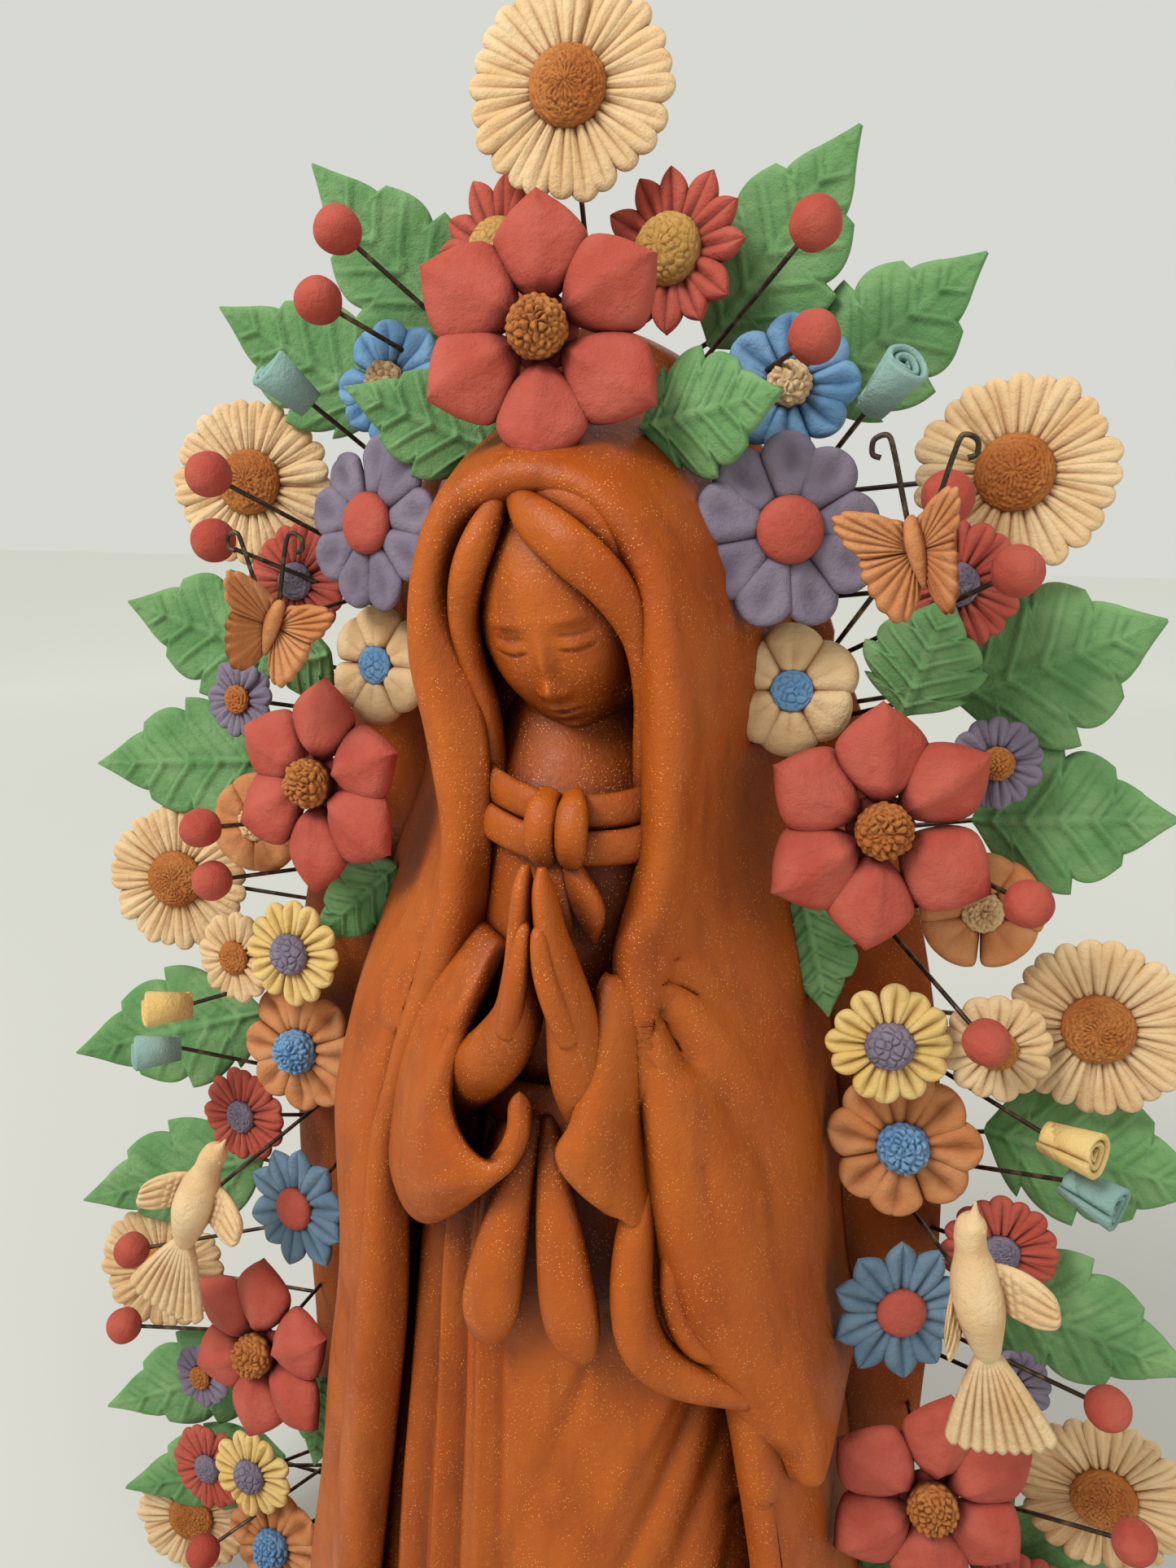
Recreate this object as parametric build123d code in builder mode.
from build123d import *
import os
from collections import namedtuple
from functools import lru_cache
from math import cos, radians, sin

"""Clay tree of life: a veiled praying figure on a plinth, in front of a flat clay
tree, ringed by leaves, flowers, berries, rosebuds, butterflies and birds on wires.

Frame: millimetres, +Z up, origin at the centre of the plinth's underside, the
figure faces -Y and +X is the viewer's right.
"""

os.makedirs("parts", exist_ok=True)

# ---- driving dimensions -------------------------------------------------
PLINTH_X = 115          # half length of the oval plinth
PLINTH_Y = 70           # half depth
PLINTH_Z = 22           # height
VENT_R = 7              # firing vent through the plinth, into the hollow skirt
SLAB_FRONT = 14         # Y of the front face of the clay tree
SLAB_T = 12             # its thickness
SLAB_MID = SLAB_FRONT + SLAB_T / 2
WALL = 7                # clay wall of the hollow skirt
WAIST_Z = 250
NECK_Z = 328
WIRE_R = 0.6            # 1.2 mm annealed wire
SOCKET_R = 1.0          # loose socket of a wire that sways
SOCKET_DEPTH = 4
WIRE_IN = 3             # how far a wire goes into the clay
TILT = 8                # ornaments look up by this many degrees

# half width and height of the clay tree's outline, from the foot to the top
SLAB_PROFILE = [(100, PLINTH_Z), (98, 150), (91, 270), (62, 355), (41, 404), (0, 430)]

# ---- helpers ------------------------------------------------------------


def save(part, name):
    part.label = name
    export_step(part, f"parts/{name}.step")


def largest(part):
    """The main solid of a part, without the crumbs that a cut leaves."""
    return part.solids().sort_by(SortBy.VOLUME)[-1]


def slab_half_width(z):
    """Half width of the clay tree at height z, straight between its profile points."""
    for (low_x, low_z), (high_x, high_z) in zip(SLAB_PROFILE, SLAB_PROFILE[1:]):
        if z <= high_z:
            share = max(0, z - low_z) / (high_z - low_z)
            return low_x + share * (high_x - low_x)
    return 0


def facing(yaw, tilt=TILT):
    """Direction an ornament looks in; yaw 0 is straight to the front."""
    turn, lift = radians(yaw), radians(tilt)
    return Vector(sin(turn) * cos(lift), -cos(turn) * cos(lift), sin(lift))


def spot(place, raised=0):
    """Plane of an ornament planted at (x, y, z, yaw), moved forward by raised."""
    x, y, z, yaw = place
    turn = radians(yaw)
    plane = Plane(origin=(x, y, z), x_dir=(cos(turn), sin(turn), 0), z_dir=facing(yaw))
    return plane.offset(raised)


def half_oval(z, half_width, front_y, centre_x=0.0, grow=0.0):
    """Sketch at height z: half an ellipse, flat on the clay tree's front face."""
    depth = SLAB_FRONT - front_y + grow
    with BuildSketch(Plane.XY.offset(z)) as face:
        with Locations((centre_x, SLAB_FRONT)):
            Ellipse(half_width + grow, depth)
            Rectangle(400, 200, align=(Align.CENTER, Align.MIN), mode=Mode.SUBTRACT)
    return face.sketch


def outline(plane, points):
    """Closed straight-sided face through points on plane."""
    with BuildSketch(plane) as face:
        with BuildLine():
            Polyline(*points, close=True)
        make_face()
    return face.sketch


# ---- plinth and clay tree -----------------------------------------------
with BuildPart() as base_plinth:
    with BuildSketch():
        Ellipse(PLINTH_X, PLINTH_Y)
    extrude(amount=PLINTH_Z)
    fillet(base_plinth.edges().group_by(Axis.Z)[-1], 5)
    Hole(VENT_R, depth=PLINTH_Z)
save(base_plinth.part, "base_plinth")

# ornaments that sway: where the wire enters the clay, and where the ornament sits
SWAY_ROOTS = {
    "top_daisy": (0, SLAB_MID, 427),
    "berry_left": (-20, SLAB_FRONT, 416),
    "berry_right": (24, SLAB_FRONT, 416),
    "butterfly_left": (-54, SLAB_FRONT, 366),
    "butterfly_right": (60, SLAB_FRONT, 351),
    "bird_left": (-84, SLAB_FRONT, 208),
    "bird_right": (86, SLAB_FRONT, 208),
}
SWAY_PLACES = {
    "top_daisy": (0, 0, 476, 6),
    "berry_left": (-52, -12, 449, 0),
    "berry_right": (56, -12, 445, 0),
    "butterfly_left": (-68, -26, 360, 0),
    "butterfly_right": (79, -29, 381, 0),
    "bird_left": (-105, -28, 193, 0),
    "bird_right": (107, -28, 209, 0),
}


def toward(name):
    """Unit vector from a swaying wire's root to its ornament."""
    return (Vector(*SWAY_PLACES[name][:3]) - Vector(*SWAY_ROOTS[name])).normalized()


with BuildPart() as tree_back:
    with BuildSketch(Plane.XZ.offset(-SLAB_FRONT)):
        with BuildLine():
            right_side = Spline(*SLAB_PROFILE, tangents=[(0, 1), (-1, 0.1)])
            mirror(right_side, about=Plane.YZ)
            Line((-SLAB_PROFILE[0][0], PLINTH_Z), SLAB_PROFILE[0])
        make_face()
    extrude(amount=-SLAB_T)
    for name in SWAY_ROOTS:
        mouth = Vector(*SWAY_ROOTS[name])
        out = toward(name)
        with BuildSketch(Plane(origin=mouth - out * SOCKET_DEPTH, z_dir=out)):
            Circle(SOCKET_R)
        extrude(amount=SOCKET_DEPTH + 12, mode=Mode.SUBTRACT)
save(tree_back.part, "tree_back")

# ---- the figure's body --------------------------------------------------
# (height, half width, front Y) of the skirt from hem to waist
SKIRT = [(PLINTH_Z, 60, -58), (110, 55, -52), (180, 46, -46), (WAIST_Z, 27, -37)]
# the same for the bodice, from waist to neck
BODICE = [(WAIST_Z, 27, -37), (292, 32, -35), (314, 32, -30), (NECK_Z, 15, -22)]
BODY_X = 4              # the upper body stands a little to the viewer's right
HEAD_AT = (2, -20, 361)
HEAD_R = (18, 20, 28)
HAIR_GROW = 4
HEAD_TILT = 8           # degrees that the head leans to the viewer's left

with BuildPart() as skirt:
    for z, half_width, front_y in SKIRT:
        add(half_oval(z, half_width, front_y))
    loft(ruled=True)
    for z, half_width, front_y in SKIRT:
        with BuildSketch(Plane.XY.offset(min(z, WAIST_Z - WALL))):
            with Locations((0, SLAB_FRONT - WALL)):
                Ellipse(half_width - WALL, SLAB_FRONT - front_y - 2 * WALL)
                Rectangle(400, 200, align=(Align.CENTER, Align.MIN), mode=Mode.SUBTRACT)
    loft(ruled=True, mode=Mode.SUBTRACT)
save(skirt.part, "skirt")

with BuildPart() as bodice:
    for z, half_width, front_y in BODICE:
        add(half_oval(z, half_width, front_y, centre_x=BODY_X * (z - WAIST_Z) / (NECK_Z - WAIST_Z)))
    loft(ruled=True)
save(bodice.part, "bodice")

head_frame = Location(HEAD_AT, (12, -HEAD_TILT, 0))


def oval_ball(radii):
    """Ellipsoid with the three half sizes in radii, upright at the origin."""
    with BuildPart() as ball:
        Sphere(1)
        scale(by=radii)
    return ball.part


with BuildPart() as head:
    with Locations(head_frame):
        add(oval_ball(HEAD_R))
    with Locations((BODY_X, -10, NECK_Z - 6)):
        Cylinder(9, 26, align=(Align.CENTER, Align.CENTER, Align.MIN))
    add(bodice.part, mode=Mode.SUBTRACT)
head_solid = largest(head.part)
save(head_solid, "head")

with BuildPart() as hair:
    with Locations(head_frame * Location((0, 5, 3))):
        add(oval_ball(tuple(radius + HAIR_GROW for radius in HEAD_R)))
    with Locations((2, -50, 350)):
        Box(60, 40, 46, mode=Mode.SUBTRACT)
    add(head_solid, mode=Mode.SUBTRACT)
hair_solid = largest(hair.part)
save(hair_solid, "hair")

# ---- the mantle ---------------------------------------------------------
# the hood is an arch: (x, z) of its outer edge from the left foot over the top
HOOD_OUTER = [(-32, 303), (-31, 340), (-25, 378), (-8, 397), (6, 400), (24, 390),
              (36, 366), (38, 335), (32, 303)]
HOOD_INNER = [(25, 303), (30, 335), (28, 362), (18, 384), (5, 391), (-6, 389),
              (-17, 374), (-21, 340), (-20, 303)]
HOOD_RIM_Y = -31        # the rim stands this far forward at mid height
HOOD_LEAN = 11          # degrees that the rim's plane leans back towards the top
HOOD_MID_Z = 350
HOOD_SPREAD = 2         # how much wider the hood is where it meets the clay tree


def arch(plane, spread):
    """Arch-shaped face of the hood; spread widens it for the end at the clay tree."""
    def widened(x, z):
        side = 1 if x > BODY_X else -1
        return (x + side * spread, z - HOOD_MID_Z)
    outer = [widened(x, z) for x, z in HOOD_OUTER]
    inner = [widened(x, z) for x, z in HOOD_INNER]
    with BuildSketch(plane) as face:
        with BuildLine():
            Spline(*outer)
            Line(outer[-1], inner[0])
            Spline(*inner)
            Line(inner[-1], outer[0])
        make_face()
    return face.sketch


rim_out = Vector(0, -cos(radians(HOOD_LEAN)), sin(radians(HOOD_LEAN)))
with BuildPart() as mantle_hood:
    add(arch(Plane(origin=(0, HOOD_RIM_Y, HOOD_MID_Z), x_dir=(1, 0, 0), z_dir=rim_out), 0))
    add(arch(Plane(origin=(0, SLAB_FRONT, HOOD_MID_Z), x_dir=(1, 0, 0), z_dir=(0, -1, 0)), HOOD_SPREAD))
    loft()
    for piece in (head_solid, hair_solid, bodice.part):
        add(piece, mode=Mode.SUBTRACT)
hood_solid = largest(mantle_hood.part)
save(hood_solid, "mantle_hood")

# each drape: (height, x at the clay tree, outermost, front rim outside, front rim inside)
LEFT_DRAPE = [
    (PLINTH_Z, -90, (-86, -18), (-72, -40), (-54, -38)),
    (110, -78, (-74, -16), (-60, -42), (-44, -38)),
    (180, -68, (-63, -14), (-50, -42), (-39, -38)),
    (230, -66, (-61, -10), (-44, -44), (-34, -42)),
    (265, -58, (-53, -10), (-36, -42), (-26, -42)),
    (303, -40, (-35, -14), (-24, -41), (-16, -40)),
]
RIGHT_DRAPE = [
    (PLINTH_Z, 90, (86, -12), (84, -32), (74, -34)),
    (112, 78, (73, -16), (73, -32), (66, -36)),
    (152, 75, (72, -22), (71, -40), (60, -42)),
    (182, 72, (68, -14), (65, -46), (52, -48)),
    (230, 68, (61, -8), (50, -50), (32, -50)),
    (265, 60, (55, -8), (44, -46), (30, -46)),
    (303, 44, (40, -10), (36, -42), (27, -40)),
]


def drape(levels):
    """One side of the mantle, from the plinth up to the foot of the hood."""
    with BuildPart() as side:
        for z, slab_x, outermost, rim_outside, rim_inside in levels:
            sign = 1 if slab_x > 0 else -1
            inner_x = sign * 18
            corners = [(slab_x, SLAB_FRONT), outermost, rim_outside, rim_inside,
                       (inner_x, rim_inside[1] + 12), (inner_x, SLAB_FRONT)]
            if sign > 0:
                corners = corners[:1] + corners[:0:-1]
            add(outline(Plane.XY.offset(z), corners))
        loft(ruled=True)
        for piece in (skirt.part, bodice.part, hood_solid):
            add(piece, mode=Mode.SUBTRACT)
    return largest(side.part)


left_drape = drape(LEFT_DRAPE)
save(left_drape, "mantle_left_drape")
right_drape = drape(RIGHT_DRAPE)
save(right_drape, "mantle_right_drape")

# ---- hands, sleeves and trimmings ---------------------------------------
# centre line of each arm from the wrist to the finger tips: (x, y, z, radius)
LEFT_ARM = [(-14, -40, 250, 8), (-6, -48, 266, 7), (2.2, -54, 298, 4.8), (5, -54.5, 316, 1.6)]
RIGHT_ARM = [(24, -40, 258, 8), (19, -47, 270, 7), (12.8, -54, 298, 4.8), (10, -54.5, 316, 1.6)]
# each sleeve's outline as seen from the front: (x, z)
LEFT_SLEEVE = [(-8, 288), (3, 262), (1, 249), (-8, 236), (-27, 216), (-36, 233), (-28, 262)]
RIGHT_SLEEVE = [(27, 288), (21, 268), (12, 250), (26, 234), (36, 230), (32, 262)]
SLEEVE_FRONT = -57
LOOP = [(26, 230), (23, 202), (33, 189), (52, 178), (58, 192), (46, 220)]
SASH_TAILS = [
    [(3, 243), (-4, 228), (-12, 203), (-9, 190), (-4, 190), (2, 206), (4.5, 228)],
    [(6, 243), (6.5, 228), (7, 210), (12, 195), (18, 194), (22, 204), (19, 224)],
]
COLLAR_TAILS = [
    [(8.5, 316), (2, 309), (-1, 296), (3, 294), (8, 304)],
    [(11.5, 316), (19, 309), (20, 296), (17, 289), (12, 304)],
]
COLLAR_BANDS = [(315, 5), (322, 5)]     # (foot, height) of each band
KNOT_AT = (10, -37, 321)


def arm(stations):
    """Forearm and hand as one tapering loft through round stations."""
    points = [Vector(x, y, z) for x, y, z, _ in stations]
    with BuildPart() as limb:
        for index, (x, y, z, radius) in enumerate(stations):
            before = points[max(index - 1, 0)]
            after = points[min(index + 1, len(points) - 1)]
            with BuildSketch(Plane(origin=(x, y, z), x_dir=(1, 0, 0), z_dir=after - before)):
                Circle(radius)
        loft()
    return limb.part


def slab_of(points, front_y, thickness, cuts):
    """A flat piece seen from the front as points, with its neighbours cut out of it."""
    with BuildPart() as piece:
        add(outline(Plane.XZ.offset(-front_y), points))
        extrude(amount=thickness, dir=(0, 1, 0))
        for cut in cuts:
            add(cut, mode=Mode.SUBTRACT)
    return largest(piece.part)


body = [skirt.part, bodice.part, hood_solid, left_drape, right_drape]
hand_left = arm(LEFT_ARM)
hand_right = arm(RIGHT_ARM)
hands = []
for name, limb in (("hand_left", hand_left), ("hand_right", hand_right)):
    with BuildPart() as trimmed:
        add(limb)
        for piece in body + hands:
            add(piece, mode=Mode.SUBTRACT)
    hands.append(largest(trimmed.part))
    save(hands[-1], name)

sleeve_left = slab_of(LEFT_SLEEVE, SLEEVE_FRONT, 30, body + hands)
save(sleeve_left, "sleeve_left")
sleeve_right = slab_of(RIGHT_SLEEVE, SLEEVE_FRONT, 30, body + hands + [sleeve_left])
save(sleeve_right, "sleeve_right")
dressed = body + hands + [sleeve_left, sleeve_right]

loop_fold = slab_of(LOOP, SLEEVE_FRONT, 26, dressed)
save(loop_fold, "mantle_loop_fold")
dressed.append(loop_fold)

with BuildPart() as sash_band:
    for z in (WAIST_Z - 9, WAIST_Z + 2):
        add(half_oval(z, 31, -40, grow=1.5))
    loft(ruled=True)
    with BuildSketch(Plane.XY.offset(WAIST_Z - 9)):
        add(half_oval(WAIST_Z - 9, 24, -34))
    extrude(amount=20, mode=Mode.SUBTRACT)
    for piece in dressed:
        add(piece, mode=Mode.SUBTRACT)
sash_solid = largest(sash_band.part)
save(sash_solid, "sash_band")
dressed.append(sash_solid)

with BuildPart() as sash_tails:
    for tail in SASH_TAILS:
        add(slab_of(tail, -56, 8, dressed))
save(sash_tails.part, "sash_tails")

with BuildPart() as collar_knot:
    with Locations(KNOT_AT):
        Box(13, 7, 12)
    fillet(collar_knot.edges().filter_by(Axis.Y), 4)
    for piece in dressed:
        add(piece, mode=Mode.SUBTRACT)
knot_solid = largest(collar_knot.part)
save(knot_solid, "collar_knot")



def collar_band(foot, height):
    """One band of the collar, trimmed to what it lies against."""
    with BuildPart() as band:
        with BuildSketch(Plane.XY.offset(foot)):
            add(half_oval(foot, 30, -30, centre_x=BODY_X, grow=4))
        extrude(amount=height)
        for piece in dressed + [knot_solid, head_solid]:
            add(piece, mode=Mode.SUBTRACT)
    return largest(band.part)


with BuildPart() as collar_bands:
    for foot, height in COLLAR_BANDS:
        add(collar_band(foot, height))
save(collar_bands.part, "collar_bands")

with BuildPart() as collar_tails:
    for tail in COLLAR_TAILS:
        add(slab_of(tail, -40, 8, dressed + [knot_solid, collar_bands.part]))
save(collar_tails.part, "collar_tails")

# ---- flowers ------------------------------------------------------------
Kind = namedtuple("Kind", "petals hearts count radius heart_r thickness pointed")
DAISY = Kind("cream_daisy_petals", "rust_centres", 26, 22, 8.6, 4, False)
KINDS = {
    "daisy": DAISY,
    "small daisy": DAISY._replace(count=13, radius=13.5, heart_r=5),
    "red flower": Kind("red_flower_petals", "red_flower_centres", 6, 29, 6.5, 7, True),
    "red daisy": Kind("small_red_petals", "purple_centres", 16, 15, 5, 4, True),
    "crimson daisy": Kind("small_red_petals", "red_flower_centres", 12, 18, 8, 4, True),
    "purple daisy": Kind("purple_petals", "red_centres", 9, 21.5, 7.5, 5, False),
    "lilac daisy": Kind("lilac_petals", "rust_centres", 13, 11, 4, 4, False),
    "cream blossom": Kind("cream_blossom_petals", "blue_centres", 6, 15.5, 5, 5, False),
    "blue blossom": Kind("blue_petals", "cream_centres", 8, 15.5, 5, 5, False),
    "slate blossom": Kind("slate_petals", "red_centres", 10, 18.5, 6.5, 4, True),
    "orange blossom": Kind("orange_petals", "cream_centres", 5, 14.5, 5, 5, False),
    "orange daisy": Kind("orange_petals", "blue_centres", 8, 19.5, 6.5, 5, False),
    "yellow daisy": Kind("yellow_petals", "purple_centres", 12, 15, 6, 4, False),
}

# kind, then the right-hand and the left-hand flower as (x, y, z, yaw)
FLOWERS = [
    ("crimson daisy", (23, 5, 443, -14), (-17, 4, 444, -18)),
    ("blue blossom", (50, 5, 414, 4), (-47, 5, 416, -12)),
    ("daisy", (100, 13, 395, -3), (-94, 13, 392, 8)),
    ("purple daisy", (52, -8, 383, 20), (-47, -8, 383, -20)),
    ("red daisy", (89, 3, 371, 6), (-77, 5, 367, -4)),
    ("cream blossom", (54, -1, 346, 8), (-51, -1, 347, -10)),
    ("lilac daisy", (101, 6, 330, 10), (-98, 6, 334, -8)),
    ("red flower", (76, -10, 317, 16), (-65, -10, 317, -14)),
    ("orange blossom", (101, 7, 293, 6), (-96, 7, 298, -6)),
    ("daisy", (131, 11, 264, -4), (-129, 12, 276, 8)),
    ("small daisy", (107, 1, 260, 8), (-103, 1, 258, -6)),
    ("yellow daisy", (82, -8, 262, 8), (-79, -8, 266, -4)),
    ("orange daisy", (87, 0, 231, 4), (-83, 0, 232, -8)),
    ("red daisy", (113, 6, 200, 8), (-109, 6, 202, -8)),
    ("slate blossom", (89, -7, 187, 20), (-84, -7, 183, -12)),
    ("lilac daisy", (119, 5, 160, 8), (-133, 4, 100, -6)),
    ("red flower", (100, -12, 136, 14), (-96, -12, 134, -14)),
    ("daisy", (147, 11, 126, -4), (-150, 11, 134, 8)),
    ("red daisy", (128, 6, 88, 6), (-134, 4, 62, -6)),
    ("yellow daisy", (108, -3, 88, 10), (-112, -3, 72, -6)),
    ("orange daisy", (107, -1, 52, 8), (-106, -1, 43, -8)),
    ("daisy", (143, 12, 52, -4), (-150, 12, 28, 6)),
]
TOP_FLOWER = ("red flower", (1, -23, 424, 6))


def petal(kind, length):
    """Outline of one petal along +X, rounded or pointed at its tip."""
    mid = kind.radius - 0.38 * length
    half_width = 3.3 * mid / kind.count
    tip_turn = 0.5 if kind.pointed else 3
    with BuildSketch() as face:
        with BuildLine():
            Spline((0, -1), (length * 0.62, -half_width), (length, 0),
                   tangents=[(2, -1), (1, tip_turn)])
            Spline((length, 0), (length * 0.62, half_width), (0, 1),
                   tangents=[(-1, tip_turn), (-2, -1)])
            Line((0, 1), (0, -1))
        make_face()
    return face.sketch


@lru_cache(maxsize=None)
def corolla(kind):
    """Ring of petals, lying on the XY plane and growing up to its thickness."""
    inner = kind.heart_r * 0.6
    outline_face = petal(kind, kind.radius - inner)
    with BuildPart() as ring:
        with BuildSketch():
            Circle(kind.heart_r * 1.15)
            with PolarLocations(inner, kind.count, start_angle=90):
                add(outline_face)
        extrude(amount=kind.thickness)
    return ring.part


@lru_cache(maxsize=None)
def heart(kind):
    """Rounded button at a flower's centre, sitting on top of its petals."""
    with BuildPart() as button:
        Cylinder(kind.heart_r, kind.heart_r * 0.5, align=(Align.CENTER, Align.CENTER, Align.MIN))
        fillet(button.edges().group_by(Axis.Z)[-1], kind.heart_r * 0.42)
    return button.part


planted = [(KINDS[name], place) for name, *places in FLOWERS for place in places]
planted.append((KINDS[TOP_FLOWER[0]], TOP_FLOWER[1]))
for node in sorted({kind.petals for kind, _ in planted}):
    with BuildPart() as rings:
        for kind, place in planted:
            if kind.petals == node:
                with Locations(spot(place)):
                    add(corolla(kind))
    save(rings.part, node)
for node in sorted({kind.hearts for kind, _ in planted}):
    with BuildPart() as buttons:
        for kind, place in planted:
            if kind.hearts == node:
                with Locations(spot(place, kind.thickness)):
                    add(heart(kind))
    save(buttons.part, node)

# ---- leaves, on the back row and between the flowers ---------------------
# foot (x, y, z), tip (x, y, z), half width
BIG_LEAVES = [
    ((30, 16, 424), (62, 8, 467), 15), ((-32, 16, 424), (-67, 8, 467), 15),
    ((54, 16, 411), (90, 9, 441), 14), ((-55, 16, 410), (-97, 9, 436), 14),
    ((90, 18, 345), (136, 12, 360), 18), ((-90, 18, 345), (-136, 12, 357), 16),
    ((98, 17, 313), (142, 10, 318), 16), ((-98, 17, 314), (-150, 10, 311), 16),
    ((108, 18, 228), (160, 8, 225), 18), ((-108, 18, 232), (-166, 4, 216), 17),
    ((106, 18, 181), (163, 8, 171), 17), ((-112, 18, 180), (-172, 4, 160), 16),
    ((112, 19, 95), (170, 10, 86), 17), ((-116, 18, 98), (-174, 4, 77), 16),
    ((-114, 18, 57), (-170, 4, 42), 15),
]
SMALL_LEAVES = [
    ((21, -12, 405), (52, -21, 412), 12), ((-14, -10, 400), (-48, -18, 414), 11),
    ((80, 2, 342), (88, -10, 370), 12), ((-75, 3, 338), (-81, -5, 361), 11),
    ((58, 5, 293), (68, 0, 264), 10), ((-52, 5, 290), (-78, 0, 266), 9),
    ((91, 10, 108), (92, 7, 76), 9), ((-88, 6, 108), (-92, 1, 78), 10),
]
LEAF_T = 2.5


@lru_cache(maxsize=None)
def leaf(length, half_width):
    """Flat pointed leaf along +X from its foot at the origin."""
    with BuildPart() as blade:
        with BuildSketch():
            with BuildLine():
                edge = Spline((0, 0), (length * 0.34, half_width), (length, 0),
                              tangents=[(0.25, 1), (1, -0.35)])
                mirror(edge, about=Plane.XZ)
            make_face()
        extrude(amount=LEAF_T)
    return blade.part


def leaf_group(plan, name):
    with BuildPart() as blades:
        for foot, tip, half_width in plan:
            along = Vector(*tip) - Vector(*foot)
            across = Vector(0, -1, 0.1).cross(along)
            place = Plane(origin=foot, x_dir=along, z_dir=along.cross(across))
            with Locations(place):
                add(leaf(round(along.length), half_width))
    save(blades.part, name)


leaf_group(BIG_LEAVES, "large_leaves")
leaf_group(SMALL_LEAVES, "small_leaves")

# ---- berries and rosebuds -----------------------------------------------
BERRY_R = 5.5
# centre of each berry, then where its wire enters the clay tree (x, z)
BERRIES = [
    ((57, -14, 423), (33, 412)), ((-57, -14, 434), (-30, 414)),
    ((86, -18, 391), (56, 364)), ((-86, -20, 395), (-54, 368)),
    ((101, -14, 376), (64, 352)), ((-89, -16, 379), (-56, 358)),
    ((110, -14, 303), (80, 306)), ((-102, -14, 302), (-78, 298)),
    ((104, -14, 268), (76, 285)), ((-100, -14, 287), (-76, 284)),
    ((141, -10, 171), (92, 166)), ((-145, -10, 156), (-92, 160)),
    ((151, -12, 134), (94, 110)), ((-150, -12, 128), (-94, 114)),
    ((126, -14, 60), (96, 68)), ((-128, -14, 44), (-96, 60)),
]
BUD_R = 5.5
BUD_LENGTH = 13
# place, the direction its open end points to, and where its wire enters the clay tree
TEAL_BUDS = [
    ((72, -12, 413), (0.55, -0.5, 0.65), (52, 390)),
    ((-66, -12, 415), (-0.55, -0.5, 0.65), (-50, 392)),
    ((130, -12, 232), (0.85, -0.5, -0.1), (92, 216)),
    ((-124, -12, 231), (-0.75, -0.65, 0.1), (-90, 212)),
]
YELLOW_BUDS = [
    ((124, -14, 245), (0.8, -0.55, 0.1), (90, 246)),
    ((-117, -14, 247), (-0.75, -0.65, 0.1), (-90, 248)),
]


def bud_group(plan, name):
    with BuildPart() as buds:
        for place, look, _ in plan:
            with Locations(Plane(origin=place, z_dir=look)):
                Cone(BUD_R * 0.62, BUD_R, BUD_LENGTH)
    save(buds.part, name)


with BuildPart() as berries:
    for place, _ in BERRIES:
        with Locations(place):
            Sphere(BERRY_R)
save(berries.part, "berries")
bud_group(TEAL_BUDS, "teal_rosebuds")
bud_group(YELLOW_BUDS, "yellow_rosebuds")

# ---- rigid wires --------------------------------------------------------
EMBED = 1.5             # how far a wire goes into its ornament


def root_of(x, z):
    """Where a wire behind an ornament at (x, z) enters the clay tree."""
    side = 1 if x > 0 else -1
    root_z = max(z - 6, PLINTH_Z + 8)
    edge = slab_half_width(root_z)
    if abs(x) > edge + 4:
        return Vector(side * (edge - WIRE_IN), SLAB_MID, root_z)
    return Vector(side * min(abs(x), edge - 4), SLAB_FRONT + WIRE_IN, z)


stems = []              # (end in the ornament, end in the clay tree)
for kind, (x, y, z, yaw) in planted:
    stems.append((Vector(x, y, z) + facing(yaw) * EMBED, root_of(x, z)))
for foot, tip, _ in BIG_LEAVES + SMALL_LEAVES:
    heel = Vector(*foot) + (Vector(*tip) - Vector(*foot)).normalized() * 2 * EMBED
    stems.append((heel + Vector(0, -LEAF_T / 2, 0), root_of(foot[0], foot[2])))
for place, (root_x, root_z) in BERRIES:
    root = Vector(root_x, SLAB_FRONT + WIRE_IN, root_z)
    stems.append((Vector(*place) + (root - Vector(*place)).normalized() * (BERRY_R - EMBED), root))
for place, look, (root_x, root_z) in TEAL_BUDS + YELLOW_BUDS:
    heel = Vector(*place) - Vector(*look).normalized() * (BUD_LENGTH / 2 - EMBED)
    stems.append((heel, Vector(root_x, SLAB_FRONT + WIRE_IN, root_z)))


def wires(ends, name):
    """Straight wires, each from one point to another."""
    with BuildPart() as group:
        for start, stop in ends:
            with BuildSketch(Plane(origin=start, z_dir=stop - start)):
                Circle(WIRE_R)
            extrude(amount=(stop - start).length)
    save(group.part, name)


wires([ends for ends in stems if ends[1].X < 0], "stem_wires_left")
wires([ends for ends in stems if ends[1].X >= 0], "stem_wires_right")

# ---- ornaments that sway on their wires ----------------------------------
TOP_DAISY = DAISY._replace(radius=23)
WING_T = 2.5
# half of a butterfly seen from the front: fore wing and hind wing, (x, y)
WING = [(0, 4), (7, 10), (17, 14), (16, 5), (11, 0), (12, -8), (7, -10), (0, -4)]
FEELER = 21             # height of a butterfly's two feelers above its middle
BIRD_LEANS = {"bird_left": -22, "bird_right": 12}
BIRD_TAIL_T = 3
BIRD_BODY = [(0, -16), (5.5, -10), (6.5, 2), (4, 12), (4, 18), (1.5, 23), (0, 27)]
BIRD_TAIL = [(-2.5, -14), (-12, -34), (-7, -40), (7, -40), (12, -34), (2.5, -14)]
BIRD_WING = [(-4, 8), (-10, 13), (-18, 12), (-17, 4), (-10, -4), (-4, -6)]

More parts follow.
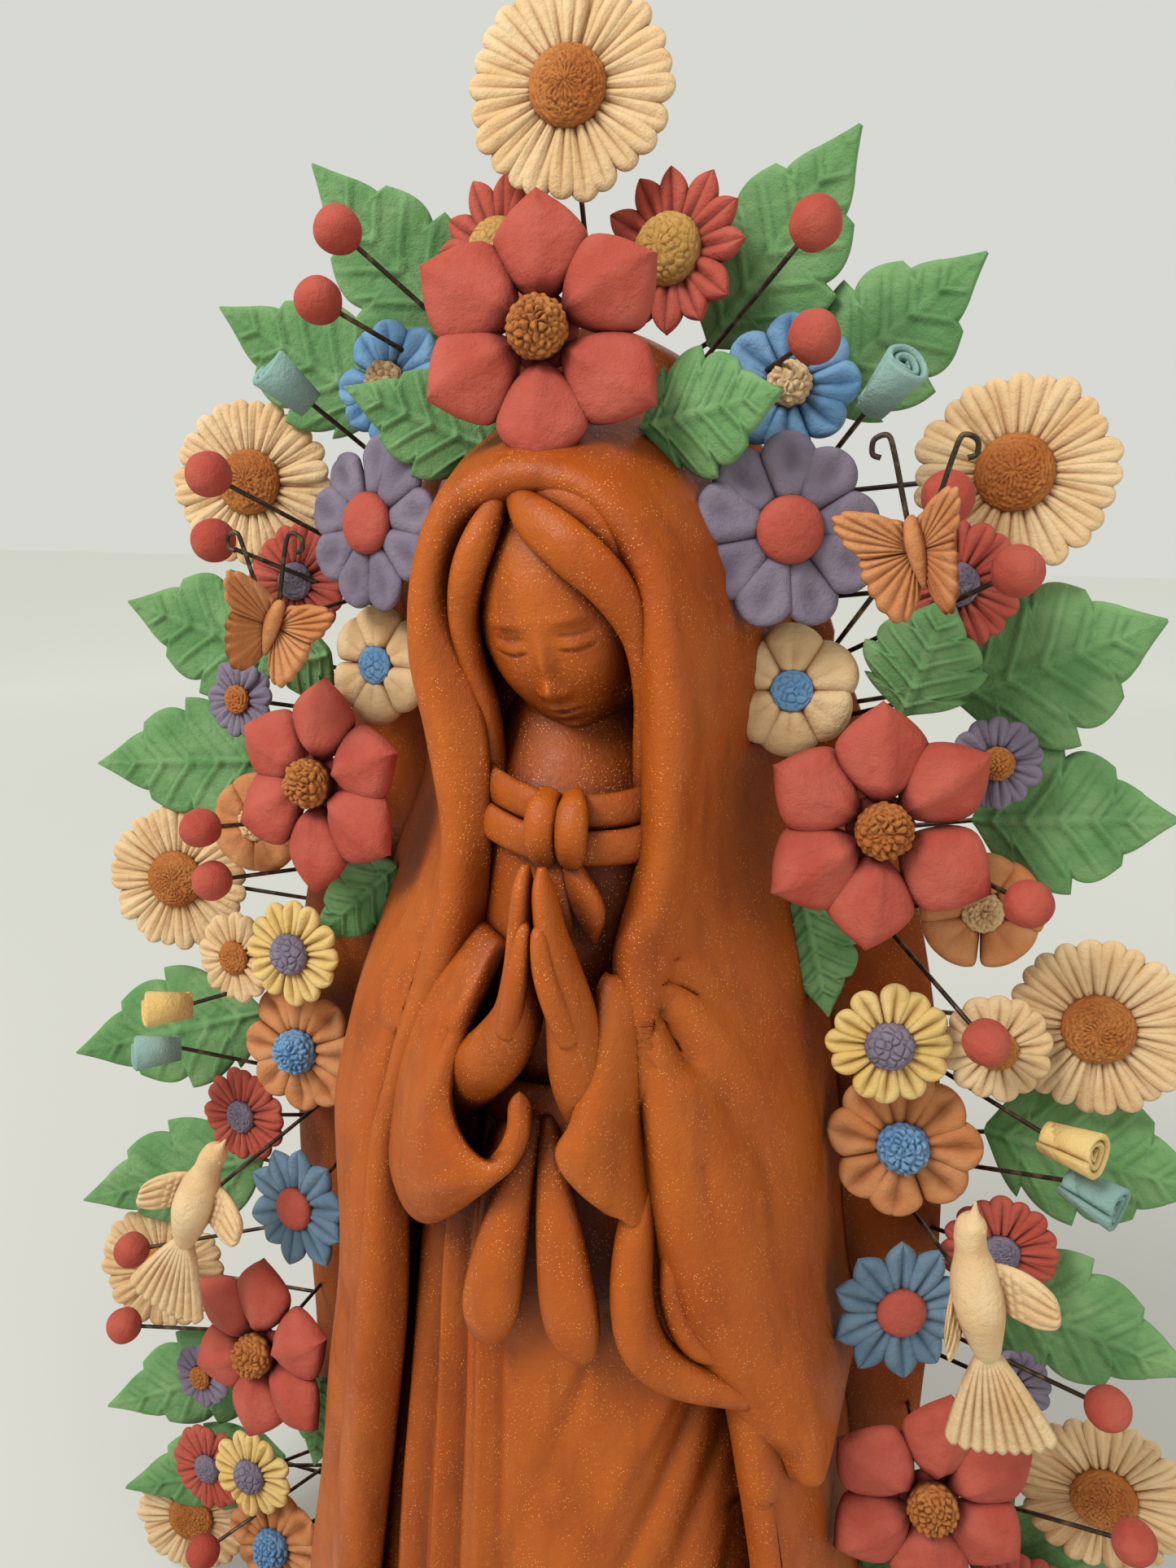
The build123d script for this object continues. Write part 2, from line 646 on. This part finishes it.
top_daisy_plane = spot(SWAY_PLACES["top_daisy"])
with BuildPart() as top_daisy_petals:
    with Locations(top_daisy_plane):
        add(corolla(TOP_DAISY))
save(top_daisy_petals.part, "top_daisy_petals")
with BuildPart() as top_daisy_centre:
    with Locations(top_daisy_plane.offset(TOP_DAISY.thickness)):
        add(heart(TOP_DAISY))
save(top_daisy_centre.part, "top_daisy_centre")


def sway_ends(name, stop_short):
    """Wire from the bottom of its loose socket to just inside its ornament."""
    root = Vector(*SWAY_ROOTS[name]) - toward(name) * WIRE_IN
    end = Vector(*SWAY_PLACES[name][:3]) - toward(name) * stop_short
    return (root, end)


def butterfly_shape(name):
    with BuildPart() as butterfly:
        with BuildSketch(Plane(origin=SWAY_PLACES[name][:3], z_dir=(0, -1, 0))):
            with BuildLine():
                half = Polyline(*WING)
                mirror(half, about=Plane.YZ)
            make_face()
        extrude(amount=WING_T)
    return butterfly.part


def bird_shape(name):
    with BuildPart() as bird:
        with BuildSketch():
            with BuildLine():
                Polyline(*BIRD_BODY, close=True)
            make_face()
        revolve(axis=Axis.Y)
        with BuildSketch(Plane.XY.offset(-BIRD_TAIL_T / 2)):
            for points in (BIRD_TAIL, BIRD_WING, [(-x, y) for x, y in BIRD_WING]):
                with BuildLine():
                    Polyline(*points, close=True)
                make_face()
        extrude(amount=BIRD_TAIL_T)
    upright = Plane(origin=SWAY_PLACES[name][:3], x_dir=(1, 0, 0), z_dir=(0, -1, 0))
    return bird.part.moved(Location(upright) * Location((0, 0, 0), (0, 0, BIRD_LEANS[name])))


wires([sway_ends("top_daisy", -EMBED)], "top_daisy_wire")
for side in ("left", "right"):
    berry = f"berry_{side}"
    with BuildPart() as top_berry:
        with Locations(SWAY_PLACES[berry][:3]):
            Sphere(BERRY_R)
    save(top_berry.part, f"top_{berry}")
    wires([sway_ends(berry, BERRY_R - EMBED)], f"top_{berry}_wire")

    butterfly = f"butterfly_{side}"
    save(butterfly_shape(butterfly), butterfly)
    nape = Vector(*SWAY_PLACES[butterfly][:3]) + Vector(0, -WING_T / 2, 3)
    feelers = [(nape + Vector(2 * way, 0, 0), nape + Vector(6 * way, 0, FEELER)) for way in (-1, 1)]
    wires([sway_ends(butterfly, 0)] + feelers, f"{butterfly}_wires")

    bird = f"bird_{side}"
    save(bird_shape(bird), bird)
    wires([sway_ends(bird, 4)], f"{bird}_wire")
